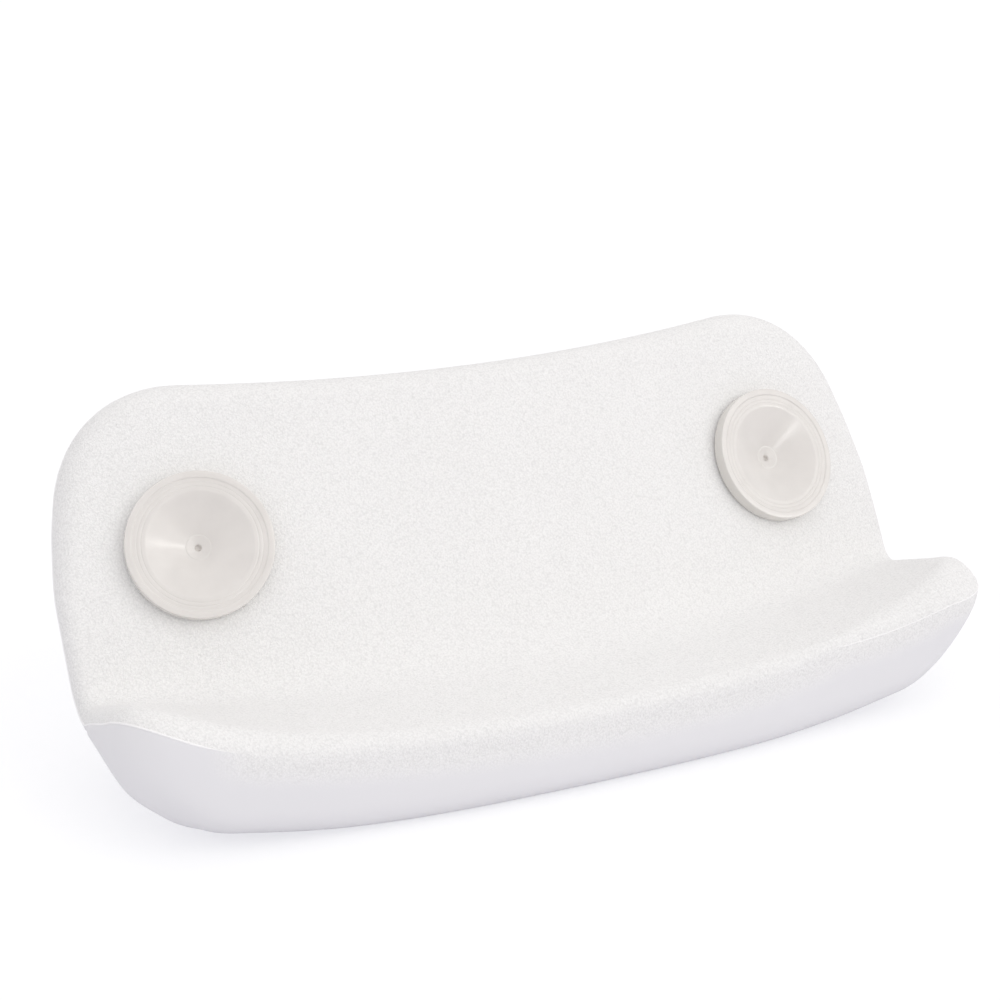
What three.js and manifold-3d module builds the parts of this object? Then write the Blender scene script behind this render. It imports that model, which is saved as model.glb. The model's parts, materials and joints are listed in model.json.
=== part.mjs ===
// Bath pillow: a moulded foam headrest with a lip for the tub rim and two suction cups.
// Lengths are millimetres and angles are degrees. +Z is up, +X runs along the width, the cups face -Y.
// The pillow stands on the underside of its lip. The origin is on that resting flat, below the fold.

import * as THREE from 'three';
import { mergeVertices } from 'three/addons/utils/BufferGeometryUtils.js';
import Module from 'manifold-3d';

const wasm = await Module();
wasm.setup();

// Section at mid-width: a plate that leans back from the fold, and a lip that runs forward from it
const bodyHalfWidth = 148.5;
const plateHeight = 102.3; // fold to free edge, along the plate
const plateLean = 33; // from upright
const seatHeight = 31.5; // fold above the table
const lipReach = 44.5; // fold to lip edge
const lipEdgeHeight = 31.5; // lip edge above the table
const foldRound = 17; // leg of the fillet in the fold
const foldRoundEnd = 7; // the same at the side edges
const standFlat = 0.5; // depth of the flat that the pillow stands on

// How far the side edges lie behind and above the same lines at mid-width
const freeEdgeBow = 18.5;
const freeEdgeRise = 6.5;
const foldBow = 21;
const lipBow = 12;
const lipRise = 5.5;
const lipCurl = 21; // further rise that comes in towards the lip's ends
const soleRise = 5.5;

// Outline corners and edge rolls
const freeCornerRadius = 48;
const lipCornerRadius = 19;
const edgeRoll = 9; // plate edges
const foldRoll = 5; // side edges beside the fold
const lipRoll = 5; // lip edge at mid-width
const rollFade = 30; // stretch over which the one roll turns into the other

// How far the side edges stand out, beside the fold and beside the lip edge, beyond the plate's upper part
const foldFlare = 3.5;
const lipFlare = 0.5;
const flareStart = 35; // free edge to where the side edges start to widen
const flareEnd = 66;

// Front of the cushion: crown, heel under the neck roll, and toe under the lip edge
const shoulderDrop = 26; // free edge to shoulder, along the plate
const shoulderDepth = 27; // rear face to shoulder
const shoulderRound = 15; // how square the crown starts at the free edge
const heelReach = 61; // fold to heel corner
const heelRound = 24;
const toeSet = 2; // toe corner behind the lip edge
const toeRound = 12;
const crownWidth = 78; // stretch over which the plate's sides are drawn in
const lipEndWidth = 30; // rounded end of the lip, seen from the front

// Skins, foam and clearances
const skinThickness = 2;
const skinLand = 8; // width of the joint face where the two skins meet
const gap = 0.3; // between pieces that lie against each other

// Suction cups
const cupSideMargin = 42.9; // side edge to cup centre
const cupDrop = 53.1; // free edge to cup centre
const cupRadius = 23.75;
const cupHeight = 5; // rear face to rim
const cupRimWidth = 2; // flat ring that seals
const cupRimStep = 0.8; // rim ring above the inner ring
const cupBowlRadius = 17.3;
const cupBowlDepth = 7.2; // rim to the middle of the bowl
const cupBowlFloorRadius = 4.2;
const cupDimpleRadius = 1.1;
const cupDimpleDepth = 0.9;
const cupFlangeInner = 19.5; // where the wall's underside turns into the cone
const cupEdgeRound = 0.5;
const cupBackThickness = 3.1; // bowl floor to back
const stemRadius = 4;
const stemHeadRadius = 5.8;
const stemHeadHeight = 3.2;

// Cup seats, clamp washers and insert board
const seatClearance = 0.45; // cup cone to seat cone, and stem to tube
const seatWall = 1.6;
const seatRimRadius = 20;
const seatFlangeRadius = 25;
const seatFlangeThickness = 1.2;
const seatTubeLength = 5;
const boardThickness = 3.5;
const boardRim = 3; // board round the seats' flanges
const boardCornerRadius = 14;
const boardHoleRadius = 18.4;
const washerHub = 2.4;
const washerRimRadius = 22;
const washerThickness = 1.4;

// Mesh fineness
const rollSteps = 3;
const lipEndSteps = 3;
const halfWidthSteps = 5;
const rearSteps = { corner: 4, plate: 2, fold: 3, seat: 1, lipCorner: 2 };
const frontSteps = { crown: 4, face: 4, heel: 3, sole: 2, toe: 3, wall: 2 };
const boardColumns = 11;
const boardRows = 4;
const cupSegments = 36;
const hardwareSegments = 28;
const pocketSegments = 10;

const cupHalfSpacing = bodyHalfWidth - cupSideMargin;
const boardReach = seatFlangeRadius + boardRim;
const radians = THREE.MathUtils.degToRad;
const mix = THREE.MathUtils.lerp;

// Materials
const finish = (color, roughness) => new THREE.MeshStandardMaterial({ color, roughness, metalness: 0 });
const skinFinish = finish(0xf3f3f1, 0.55);
const foamFinish = finish(0xefe9d8, 0.95);
const cupFinish = finish(0xe2dfdb, 0.3);
const boardFinish = finish(0xd9d9d6, 0.6);
const washerFinish = finish(0xc9cacb, 0.5);

// Section curves lie in the Y-Z plane, and a Vector2 there holds (y, z)
const point = (y, z) => new THREE.Vector2(y, z);
const plateUp = point(Math.sin(radians(plateLean)), Math.cos(radians(plateLean)));
const plateIn = point(Math.cos(radians(plateLean)), -Math.sin(radians(plateLean)));
const along = (start, direction, length) => start.clone().addScaledVector(direction, length);
const toward = (start, end, length) => along(start, end.clone().sub(start).normalize(), length);

// A path through corner points, with each inner corner rounded by a parabola with legs of its own length
function roundedPath(corners, legs) {
  const path = new THREE.CurvePath();
  let start = corners[0];
  for (let k = 1; k < corners.length - 1; k += 1) {
    const before = toward(corners[k], corners[k - 1], legs[k - 1]);
    const after = toward(corners[k], corners[k + 1], legs[k - 1]);
    path.add(new THREE.LineCurve(start, before));
    path.add(new THREE.QuadraticBezierCurve(before, corners[k], after));
    start = after;
  }
  path.add(new THREE.LineCurve(start, corners[corners.length - 1]));
  return path;
}

// The section at a share of the way from mid-width (0) to the side edges (1)
function sectionAt(share) {
  const fold = point(foldBow * share, seatHeight);
  const freeEdge = along(point(0, seatHeight), plateUp, plateHeight);
  freeEdge.add(point(freeEdgeBow * share, freeEdgeRise * share));
  const lipLift = lipRise * share + lipCurl * share ** 2;
  const lipEdge = point(-lipReach + lipBow * share, lipEdgeHeight + lipLift);
  const rear = roundedPath([freeEdge, fold, lipEdge], [mix(foldRound, foldRoundEnd, share)]);
  const freeParting = along(freeEdge, plateIn, edgeRoll);
  const crownCorner = along(freeParting, plateIn, shoulderRound);
  const shoulder = along(along(freeEdge, plateUp, -shoulderDrop), plateIn, shoulderDepth);
  const heel = point(heelReach + foldBow * share, soleRise * share - standFlat);
  const toe = point(-lipReach + toeSet + lipBow * share, soleRise * share - standFlat);
  const lipParting = along(lipEdge, point(0, -1), lipRoll);
  const front = new THREE.CurvePath();
  front.add(new THREE.QuadraticBezierCurve(freeParting, crownCorner, shoulder));
  roundedPath([shoulder, heel, toe, lipParting], [heelRound, toeRound]).curves.forEach((c) => front.add(c));
  return { rear, front };
}

const midSection = sectionAt(0);
const betweenSection = sectionAt(0.5);
const sideSection = sectionAt(1);
const rearLength = midSection.rear.getLength();
const frontLength = midSection.front.getLength();
const [plateEnd, foldEnd] = midSection.rear.getCurveLengths();
const [crownEnd, faceEnd, heelEnd, soleEnd, toeEnd] = midSection.front.getCurveLengths();

// A point of the rear or front surface, by its place along the section at mid-width.
// Across the width it follows a smooth curve through the three sections
function surfacePoint(which, length, x, distance) {
  const t = THREE.MathUtils.clamp(distance / length, 0, 1);
  const share = (x / bodyHalfWidth) ** 2;
  const flat = midSection[which].getPoint(t).multiplyScalar((1 - share) * (1 - 2 * share));
  flat.addScaledVector(betweenSection[which].getPoint(t), 4 * share * (1 - share));
  flat.addScaledVector(sideSection[which].getPoint(t), share * (2 * share - 1));
  return new THREE.Vector3(x, flat.x, flat.y);
}
const rearBase = (x, v) => surfacePoint('rear', rearLength, x, v);
const frontBase = (x, s) => surfacePoint('front', frontLength, x, s);

// Outward normal of the rear surface, from short steps along both directions
const normalStep = 0.5;
function rearNormal(x, v) {
  const low = Math.max(v - normalStep, 0);
  const high = Math.min(v + normalStep, rearLength);
  const down = rearBase(x, high).sub(rearBase(x, low));
  const across = rearBase(x + normalStep, v).sub(rearBase(x - normalStep, v));
  return down.cross(across).normalize();
}

// How far the outline stands out beyond its width at the free edge
function flareAt(v) {
  const byFold = THREE.MathUtils.smoothstep(v, flareStart, flareEnd);
  const byLip = THREE.MathUtils.smoothstep(v, plateEnd, rearLength);
  return mix(foldFlare * byFold, lipFlare, byLip);
}

// Half-width of the outline at a distance from the free edge, with round corners at both edges
function cornerInset(radius, distance) {
  const short = THREE.MathUtils.clamp(radius - distance, 0, radius);
  return radius - Math.sqrt(radius ** 2 - short ** 2);
}
function halfWidthAt(v, inset = 0) {
  const freeCorner = cornerInset(freeCornerRadius - inset, v - inset);
  const lipCorner = cornerInset(lipCornerRadius - inset, rearLength - v - inset);
  return bodyHalfWidth + flareAt(v) - inset - freeCorner - lipCorner;
}

// Distance from a point of the rear face to the outline
function edgeDistance(x, v) {
  const side = bodyHalfWidth + flareAt(v) - Math.abs(x);
  const corners = [[freeCornerRadius, v], [lipCornerRadius, rearLength - v]];
  let nearest = Math.min(side, v, rearLength - v);
  for (const [radius, distance] of corners) {
    if (side < radius && distance < radius) {
      nearest = radius - Math.hypot(radius - side, radius - distance);
    }
  }
  return Math.max(nearest, 0);
}

// The roll is a quarter circle round the outline, tighter along the mid lip edge and beside the fold
function rollRadius(x, v) {
  const aboveFold = mix(edgeRoll, foldRoll, THREE.MathUtils.smoothstep(v, flareStart, plateEnd));
  const sideRadius = mix(aboveFold, edgeRoll, THREE.MathUtils.smoothstep(v, plateEnd, rearLength));
  const lipRadius = mix(lipRoll, edgeRoll, (x / bodyHalfWidth) ** 2);
  return mix(lipRadius, sideRadius, THREE.MathUtils.smoothstep(rearLength - v, 0, rollFade));
}
function rollDrop(x, v) {
  const radius = rollRadius(x, v);
  const short = Math.max(radius - edgeDistance(x, v), 0);
  return radius - Math.sqrt(radius ** 2 - short ** 2);
}
function rearPoint(x, v, depth) {
  return rearBase(x, v).addScaledVector(rearNormal(x, v), -rollDrop(x, v) - depth);
}

// The front's share of its full depth, near the sides: a soft crown behind the plate, a round lip end
function sideShare(x, s) {
  const fromSide = Math.max(halfWidthAt(rearPlace(s)) - Math.abs(x), 0);
  const crown = 1 - Math.max(1 - fromSide / crownWidth, 0) ** 2;
  const roundEnd = Math.sqrt(1 - Math.max(1 - fromSide / lipEndWidth, 0) ** 2);
  return mix(crown, roundEnd, THREE.MathUtils.smoothstep(s, faceEnd, soleEnd));
}
function frontPoint(x, s) {
  const v = rearPlace(s);
  const parting = rearNormal(x, v).multiplyScalar(-rollRadius(x, v) - gap);
  const full = frontBase(x, s).sub(rearBase(x, v));
  const edge = s <= 0 || s >= frontLength;
  return rearBase(x, v).add(edge ? parting : parting.lerp(full, sideShare(x, s)));
}

// Row stations along each section, as stretches with their own number of steps
function stations(stretches) {
  const list = [0];
  for (const [end, steps, spread] of stretches) {
    const start = list[list.length - 1];
    for (let k = 1; k <= steps; k += 1) {
      list.push(mix(start, end, spread(k / steps)));
    }
  }
  return list;
}
const even = (t) => t;
const closeAtStart = (t) => 1 - Math.cos((t * Math.PI) / 2);
const closeAtEnd = (t) => Math.sin((t * Math.PI) / 2);
const rearRows = stations([
  [edgeRoll, rollSteps, closeAtStart],
  [freeCornerRadius, rearSteps.corner, even],
  [plateEnd, rearSteps.plate, even],
  [foldEnd, rearSteps.fold, even],
  [rearLength - lipCornerRadius, rearSteps.seat, even],
  [rearLength - lipRoll, rearSteps.lipCorner, even],
  [rearLength, rollSteps, closeAtEnd],
]);
const frontRows = stations([
  [crownEnd, frontSteps.crown, even],
  [faceEnd, frontSteps.face, even],
  [heelEnd, frontSteps.heel, even],
  [soleEnd, frontSteps.sole, even],
  [toeEnd, frontSteps.toe, even],
  [frontLength, frontSteps.wall, even],
]);

// The place on the rear face that lies opposite a place on the front
function rearPlace(s) {
  const row = Math.max(frontRows.findIndex((station) => station >= s), 1);
  const t = (s - frontRows[row - 1]) / (frontRows[row] - frontRows[row - 1]);
  return mix(rearRows[row - 1], rearRows[row], t);
}

// Column stations run from side to side, closer together in the roll and in the lip's round ends
function columnsAt(halfWidth) {
  const fromSide = stations([
    [edgeRoll, rollSteps, closeAtStart],
    [lipEndWidth, lipEndSteps, even],
    [halfWidth, halfWidthSteps, even],
  ]);
  const leftHalf = fromSide.map((distance) => distance - halfWidth);
  const rightHalf = fromSide.map((distance) => halfWidth - distance).reverse();
  return [...leftHalf, ...rightHalf.slice(1)];
}

// Both faces of the body as grids of points, drawn in from the outline and sunk below the surface
function bodySheets(inset, depth) {
  const shrink = (value, length) => mix(inset, length - inset, value / length);
  const rear = rearRows.map((station) => {
    const v = shrink(station, rearLength);
    return columnsAt(halfWidthAt(v, inset)).map((x) => rearPoint(x, v, depth));
  });
  const front = frontRows.map((station) => {
    const s = shrink(station, frontLength);
    return columnsAt(halfWidthAt(rearPlace(s), inset)).map((x) => frontPoint(x, s));
  });
  return { rear, front: sunk(front, depth) };
}

// A grid moved in along its own normals
function sunk(grid, depth) {
  const lastRow = grid.length - 1;
  const lastColumn = grid[0].length - 1;
  return grid.map((line, row) =>
    line.map((place, column) => {
      const left = line[Math.max(column - 1, 0)];
      const right = line[Math.min(column + 1, lastColumn)];
      const above = grid[Math.max(row - 1, 0)][column];
      const below = grid[Math.min(row + 1, lastRow)][column];
      const inward = below.clone().sub(above).cross(right.clone().sub(left)).normalize();
      return place.clone().addScaledVector(inward, depth);
    }),
  );
}

// The points round a grid, in order
function rimOf(grid) {
  const last = grid.length - 1;
  const sideDown = grid.slice(1, last).map((line) => line[line.length - 1]);
  const sideUp = grid.slice(1, last).map((line) => line[0]);
  return [...grid[0], ...sideDown, ...[...grid[last]].reverse(), ...sideUp.reverse()];
}

// The loop midway between the rims of two sheets, moved a little towards the front
function middleLoop(sheets, shift) {
  const frontRim = rimOf(sheets.front);
  return rimOf(sheets.rear).map((place, k) => {
    const across = frontRim[k].clone().sub(place);
    return place.clone().lerp(frontRim[k], 0.5).addScaledVector(across.normalize(), shift);
  });
}

// A closed solid between two grids, whose rims are joined by way of a loop between them.
// The outer grid faces the rear, or the front where facesFront is set
function solidBetween(outerGrid, innerGrid, loop, facesFront = false) {
  const positions = [];
  const triangle = (...corners) => {
    const ordered = facesFront ? corners.reverse() : corners;
    ordered.forEach((corner) => positions.push(...corner.toArray()));
  };
  const quad = (a, b, c, d) => {
    const [start, second, third, last] = a.x + c.x < 0 ? [a, b, c, d] : [b, c, d, a];
    triangle(start, second, third);
    triangle(start, third, last);
  };
  const cover = (grid, facesOut) => {
    for (let row = 1; row < grid.length; row += 1) {
      for (let column = 1; column < grid[row].length; column += 1) {
        const [a, b] = [grid[row - 1][column - 1], grid[row][column - 1]];
        const [c, d] = [grid[row][column], grid[row - 1][column]];
        quad(...(facesOut ? [a, b, c, d] : [a, d, c, b]));
      }
    }
  };
  cover(outerGrid, true);
  cover(innerGrid, false);
  const join = (rim, facesOut) => {
    rim.forEach((place, k) => {
      const next = (k + 1) % rim.length;
      const [b, c, d] = [rim[next], loop[next], loop[k]];
      quad(...(facesOut ? [place, b, c, d] : [place, d, c, b]));
    });
  };
  join(rimOf(outerGrid), true);
  join(rimOf(innerGrid), false);
  const geometry = new THREE.BufferGeometry();
  geometry.setAttribute('position', new THREE.Float32BufferAttribute(positions, 3));
  return solidOf(geometry);
}

// Closed geometry to a solid for joins and cuts, and back
const mergeReach = 1e-4;
function solidOf(geometry) {
  const bare = geometry.clone();
  bare.deleteAttribute('normal');
  bare.deleteAttribute('uv');
  const merged = mergeVertices(bare, mergeReach);
  const mesh = new wasm.Mesh({
    numProp: 3,
    vertProperties: new Float32Array(merged.attributes.position.array),
    triVerts: new Uint32Array(merged.index.array),
  });
  return new wasm.Manifold(mesh);
}
function geometryOf(solid) {
  const mesh = solid.getMesh();
  const geometry = new THREE.BufferGeometry();
  geometry.setAttribute('position', new THREE.BufferAttribute(mesh.vertProperties, 3));
  geometry.setIndex(new THREE.BufferAttribute(mesh.triVerts, 1));
  geometry.computeVertexNormals();
  return geometry;
}

// A turned piece about +Z, from (radius, height) pairs that start and end on the axis or close
function turned(profile, segments) {
  const lathe = new THREE.LatheGeometry(profile.map(([r, z]) => new THREE.Vector2(r, z)), segments);
  return lathe.rotateX(Math.PI / 2);
}
const closed = (profile) => [...profile, profile[0]];
const plug = (radius, low, high) => [[0, low], [radius, low], [radius, high], [0, high]];

// Where each cup stands on the plate
function cupPlace(side) {
  const place = new THREE.Group();
  place.position.copy(rearBase(side * cupHalfSpacing, cupDrop));
  const outward = rearNormal(side * cupHalfSpacing, cupDrop);
  place.quaternion.setFromUnitVectors(new THREE.Vector3(0, 0, 1), outward);
  place.updateMatrixWorld();
  return place;
}
const cupPlaces = { left: cupPlace(-1), right: cupPlace(1) };

// How far the plate's curve falls below a flat disc of this radius at the cup
function plateDrop(radius) {
  const outward = rearNormal(cupHalfSpacing, cupDrop);
  const middle = rearBase(cupHalfSpacing, cupDrop);
  const fall = (x) => middle.clone().sub(rearBase(cupHalfSpacing + x, cupDrop)).dot(outward);
  return Math.max(fall(-radius), fall(radius));
}

// Cup profile. Heights count from the rear face of the plate at the cup's centre
const cupRim = cupHeight;
const cupRing = cupRim - cupRimStep;
const cupFloor = cupRim - cupBowlDepth;
const cupBack = cupFloor - cupBackThickness;
const coneSlope = (gap - cupBack) / (cupFlangeInner - stemRadius);
const coneHeight = (radius) => cupBack + (radius - stemRadius) * coneSlope;
const seatFlangeTop = -skinThickness - gap - plateDrop(seatFlangeRadius);
const seatFlangeLow = seatFlangeTop - seatFlangeThickness;
const tubeRadius = stemRadius + seatClearance;
const seatCone = (radius) => coneHeight(radius) - seatClearance;
const tubeTop = seatCone(tubeRadius);
const tubeEnd = tubeTop - seatTubeLength;
const stemShoulder = tubeEnd - gap;
const stemEnd = stemShoulder - stemHeadHeight;
const rimInner = cupRadius - cupRimWidth;
const cupProfile = [
  [0, stemEnd],
  [stemHeadRadius / 2, stemEnd],
  [stemHeadRadius, stemShoulder - stemHeadHeight / 2],
  [stemHeadRadius, stemShoulder],
  [stemRadius, stemShoulder],
  [stemRadius, cupBack],
  [cupFlangeInner, gap],
  [cupRadius - cupEdgeRound, gap],
  [cupRadius, gap + cupEdgeRound],
  [cupRadius, cupRim - cupEdgeRound],
  [cupRadius - cupEdgeRound, cupRim],
  [rimInner, cupRim],
  [rimInner - cupRimStep, cupRing],
  [cupBowlRadius, cupRing],
  [cupBowlFloorRadius, cupFloor],
  [cupDimpleRadius, cupFloor],
  [cupDimpleRadius, cupFloor - cupDimpleDepth],
  [0, cupFloor - cupDimpleDepth],
];

// Seat: a dish that the cup's cone nests in, a flange in the board's counterbore and a tube for the stem
const tubeOuter = tubeRadius + seatWall;
const seatEdge = seatRimRadius - seatWall / 2;
const seatProfile = closed([
  [tubeRadius, tubeEnd],
  [tubeOuter, tubeEnd],
  [tubeOuter, tubeTop - seatWall],
  [boardHoleRadius - gap, seatFlangeLow],
  [seatFlangeRadius, seatFlangeLow],
  [seatFlangeRadius, seatFlangeTop],
  [seatRimRadius, seatFlangeTop],
  [seatRimRadius, seatCone(seatEdge)],
  [seatEdge, seatCone(seatEdge)],
  [tubeRadius, tubeTop],
]);

// Clamp washer: hub on the seat's tube, rim against the back of the board
const boardFace = -skinThickness - gap;
const boardBack = boardFace - boardThickness;
const washerSeat = boardBack - gap - plateDrop(washerRimRadius);
const washerBore = tubeOuter + gap;
const hubRadius = washerBore + washerHub;
const washerProfile = closed([
  [washerBore, tubeEnd],
  [hubRadius, tubeEnd],
  [boardHoleRadius, washerSeat - washerThickness],
  [washerRimRadius, washerSeat - washerThickness],
  [washerRimRadius, washerSeat],
  [boardHoleRadius, washerSeat],
  [hubRadius, tubeEnd + washerHub],
  [washerBore, tubeEnd + washerHub],
]);

function atCups(profile, segments = hardwareSegments) {
  const places = Object.values(cupPlaces);
  return places.map((place) => solidOf(turned(profile, segments).applyMatrix4(place.matrixWorld)));
}
const cutAll = (solid, tools) => tools.reduce((rest, tool) => rest.subtract(tool), solid);

// Skins: outer face, joint face and inner face
const outer = bodySheets(0, 0);
const inner = bodySheets(skinLand, skinThickness);
const rearShell = solidBetween(outer.rear, inner.rear, middleLoop(inner, -gap / 2));
const frontShell = solidBetween(outer.front, inner.front, middleLoop(inner, gap / 2), true);
const rearSkin = cutAll(rearShell, atCups(plug(seatRimRadius + gap, -cupRadius, cupRadius)));
const tableWidth = 4 * bodyHalfWidth;
const table = new THREE.BoxGeometry(tableWidth, tableWidth, tableWidth).translate(0, 0, -tableWidth / 2);
const frontSkin = frontShell.subtract(solidOf(table));

// Insert board: a strip of the plate's own curve, with counterbores and holes for the seats
function boardSheet(reach, depth) {
  const halfLength = cupHalfSpacing + reach;
  const grid = [];
  for (let row = 0; row <= boardRows; row += 1) {
    const fromTop = mix(0, 2 * reach, row / boardRows);
    const trim = cornerInset(boardCornerRadius, Math.min(fromTop, 2 * reach - fromTop));
    const line = [];
    for (let column = 0; column <= boardColumns; column += 1) {
      const x = mix(trim - halfLength, halfLength - trim, column / boardColumns);
      line.push(rearPoint(x, cupDrop - reach + fromTop, depth));
    }
    grid.push(line);
  }
  return grid;
}
function boardBlock(grow) {
  const sheet = (depth) => boardSheet(boardReach + grow, depth);
  const sheets = { rear: sheet(-boardFace - grow), front: sheet(-boardBack + grow) };
  return solidBetween(sheets.rear, sheets.front, middleLoop(sheets, 0));
}
const boardSteps = atCups(plug(seatFlangeRadius + gap, seatFlangeLow - gap, cupRadius));
const boardHoles = atCups(plug(boardHoleRadius, -cupRadius, cupRadius));
const board = cutAll(boardBlock(0), [...boardSteps, ...boardHoles]);

// Foam core: fills the skins, with pockets for the board, the washers and the stems
const foam = bodySheets(skinLand + gap, skinThickness + gap);
const foamBlock = solidBetween(foam.rear, foam.front, middleLoop(foam, 0));
const pocketRound = 1 / Math.cos(Math.PI / pocketSegments);
const stemPocketRadius = (hubRadius + gap) * pocketRound;
const washerPocketRadius = (washerRimRadius + gap) * pocketRound;
const pocketProfile = [
  [0, stemEnd - gap],
  [stemPocketRadius, stemEnd - gap],
  [stemPocketRadius, tubeEnd - gap],
  [washerPocketRadius, washerSeat - washerThickness - gap],
  [washerPocketRadius, cupRadius],
  [0, cupRadius],
];
const foamCore = cutAll(foamBlock, [boardBlock(gap), ...atCups(pocketProfile, pocketSegments)]);

// Scene graph
const pillow = new THREE.Group();
function addPiece(parent, name, geometry, material) {
  const mesh = new THREE.Mesh(geometry, material);
  mesh.name = name;
  parent.add(mesh);
}
addPiece(pillow, 'rear_skin', geometryOf(rearSkin), skinFinish);
addPiece(pillow, 'front_skin', geometryOf(frontSkin), skinFinish);
addPiece(pillow, 'foam_core', geometryOf(foamCore), foamFinish);
addPiece(pillow, 'insert_board', geometryOf(board), boardFinish);
for (const [side, place] of Object.entries(cupPlaces)) {
  addPiece(place, `${side}_cup_seat`, turned(seatProfile, hardwareSegments), boardFinish);
  addPiece(place, `${side}_clamp_washer`, turned(washerProfile, hardwareSegments), washerFinish);
  addPiece(place, `${side}_suction_cup`, turned(cupProfile, cupSegments), cupFinish);
  pillow.add(place);
}

export default pillow;
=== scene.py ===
import json
import math

import bmesh
import bpy
import numpy as np
from mathutils import Matrix, Vector


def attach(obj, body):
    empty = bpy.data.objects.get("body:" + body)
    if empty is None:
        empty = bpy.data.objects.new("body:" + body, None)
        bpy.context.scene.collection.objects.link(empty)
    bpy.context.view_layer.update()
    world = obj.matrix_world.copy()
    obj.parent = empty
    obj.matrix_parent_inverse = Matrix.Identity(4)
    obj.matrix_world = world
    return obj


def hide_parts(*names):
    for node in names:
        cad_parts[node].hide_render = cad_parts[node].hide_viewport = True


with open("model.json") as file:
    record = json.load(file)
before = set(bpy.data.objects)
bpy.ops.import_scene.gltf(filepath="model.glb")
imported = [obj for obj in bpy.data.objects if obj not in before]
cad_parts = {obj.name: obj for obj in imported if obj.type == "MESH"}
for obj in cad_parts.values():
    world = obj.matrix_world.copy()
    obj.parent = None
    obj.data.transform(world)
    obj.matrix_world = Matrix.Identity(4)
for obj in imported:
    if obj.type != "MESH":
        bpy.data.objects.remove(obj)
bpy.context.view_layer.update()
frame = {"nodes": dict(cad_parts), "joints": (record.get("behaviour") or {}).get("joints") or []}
cadNodes = frame["nodes"]
print("stage: frame loaded,", len(cadNodes), "nodes")

mm = 0.001


def linear(hexColor):
    # sRGB hex to the linear values that shaders take
    channels = [int(hexColor[k:k + 2], 16) / 255 for k in (1, 3, 5)]
    return tuple(c / 12.92 if c <= 0.04045 else ((c + 0.055) / 1.055) ** 2.4 for c in channels) + (1.0,)


def addNode(tree, kind, inputs=None, **settings):
    # one node with its settings, its plain values and its links
    node = tree.nodes.new(kind)
    for name, value in settings.items():
        setattr(node, name, value)
    for name, value in (inputs or {}).items():
        if isinstance(value, bpy.types.NodeSocket):
            tree.links.new(value, node.inputs[name])
        else:
            node.inputs[name].default_value = value
    return node


def newMaterial(name):
    material = bpy.data.materials.new(name)
    material.use_nodes = True
    tree = material.node_tree
    tree.nodes.clear()
    return material, tree


def closeMaterial(tree, shader):
    addNode(tree, "ShaderNodeOutputMaterial", {"Surface": shader.outputs[0]})


# Camera at the photo's viewing angle
cameraValues = {
    "lens": 79.2,
    "sensor": 36,
    "nearClip": 0.01,
    "place": (-0.29583, -0.59469, 0.32425),
    "right": (0.9055, -0.4243, 0.001),
    "up": (0.1433, 0.308, 0.9405),
}


def makeCamera(values):
    data = bpy.data.cameras.new("photoCamera")
    data.sensor_fit = "HORIZONTAL"
    data.sensor_width = values["sensor"]
    data.lens = values["lens"]
    data.clip_start = values["nearClip"]
    camera = bpy.data.objects.new("photoCamera", data)
    bpy.context.scene.collection.objects.link(camera)
    right = Vector(values["right"]).normalized()
    back = right.cross(Vector(values["up"])).normalized()
    up = back.cross(right)
    turn = Matrix((right, up, back)).transposed().to_4x4()
    camera.matrix_world = Matrix.Translation(values["place"]) @ turn
    bpy.context.scene.camera = camera


makeCamera(cameraValues)
print("stage: camera")

# Light: a pale room that is brighter from above, a wide soft lamp from the right and a weak fill from the left
lightValues = {
    "room": "#fbfafb",
    "roomStrength": 0.548,
    "skyStrength": 0.68,
    "lamp": "#fffefa",
    "lampStrength": 0.66,
    "lampAngle": 50,
    "lampFrom": (0.5, -0.71, 0.49),
    "fillStrength": 0.15,
    "fillAngle": 60,
    "fillFrom": (-0.9, -0.25, 0.35),
    "glints": ((0.698, -0.607, 0.381), (0.174, -0.957, 0.232)),
    "glintStrength": 0.1,
    "glintAngle": 6,
}


def addSun(name, place, strength, angle, color):
    data = bpy.data.lights.new(name, "SUN")
    data.energy = strength
    data.color = linear(color)[:3]
    data.angle = math.radians(angle)
    lamp = bpy.data.objects.new(name, data)
    lamp.rotation_euler = Vector(place).to_track_quat("Z", "Y").to_euler()
    bpy.context.scene.collection.objects.link(lamp)
    return lamp


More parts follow.
